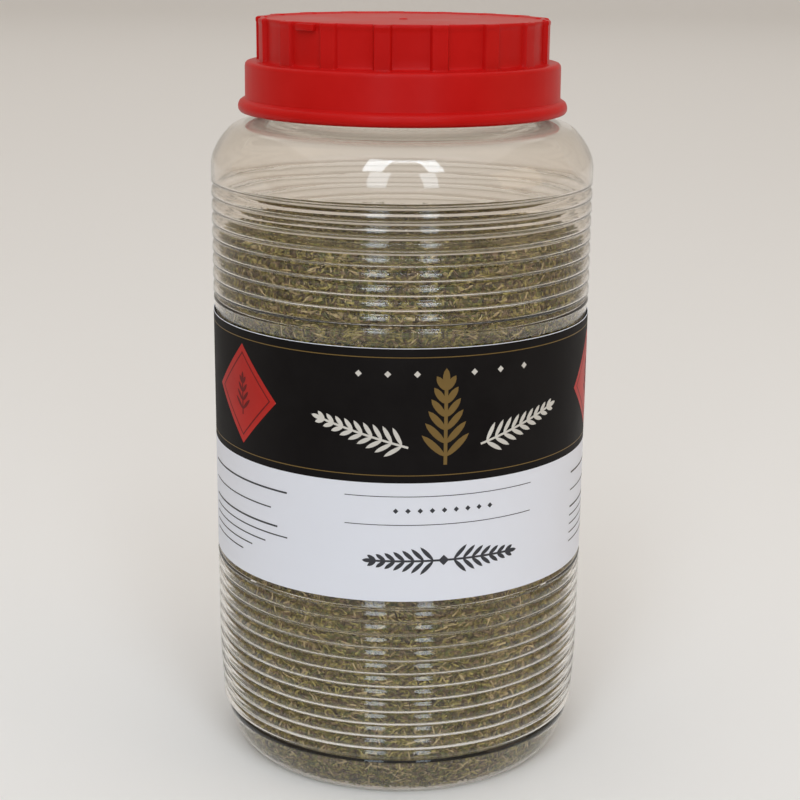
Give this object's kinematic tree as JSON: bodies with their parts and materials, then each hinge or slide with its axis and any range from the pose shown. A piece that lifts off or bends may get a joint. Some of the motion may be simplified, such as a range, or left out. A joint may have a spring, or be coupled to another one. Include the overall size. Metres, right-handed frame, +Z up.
{
  "type": "spice jar",
  "caption": "Clear ribbed plastic spice jar with a red screw lid and a wrap-around label, filled with dried cut rosemary.",
  "frame": {"origin": "middle of the jar's foot, on the surface that the jar stands on", "axes": "+Z up along the jar's axis, -Y out of the front, where the label's main panel is"},
  "size_m": [0.092, 0.092, 0.1808],
  "materials": {
    "clear_plastic": "gloss",
    "label_paper": "satin",
    "dried_rosemary": "matte",
    "liner_board": "matte",
    "red_plastic": "satin"
  },
  "bodies": {
    "jar": {"jar": "clear_plastic", "label": "label_paper", "rosemary_fill": "dried_rosemary"},
    "liner": {"liner": "liner_board"},
    "lid": {"lid": "red_plastic"}
  },
  "joints": [
    {"name": "lid_rise", "type": "slide", "parent": "jar", "child": "liner", "axis": [0, 0, 1], "range_m": [0, 0.0045]},
    {"name": "lid_turn", "type": "hinge", "parent": "liner", "child": "lid", "pos_m": [0, 0, 0.17], "axis": [0, 0, 1], "range_deg": [0, 450]}
  ],
  "couplings": [
    {"joint": "lid_rise", "follows": "lid_turn", "m_per_rad": 0.00057296}
  ]
}
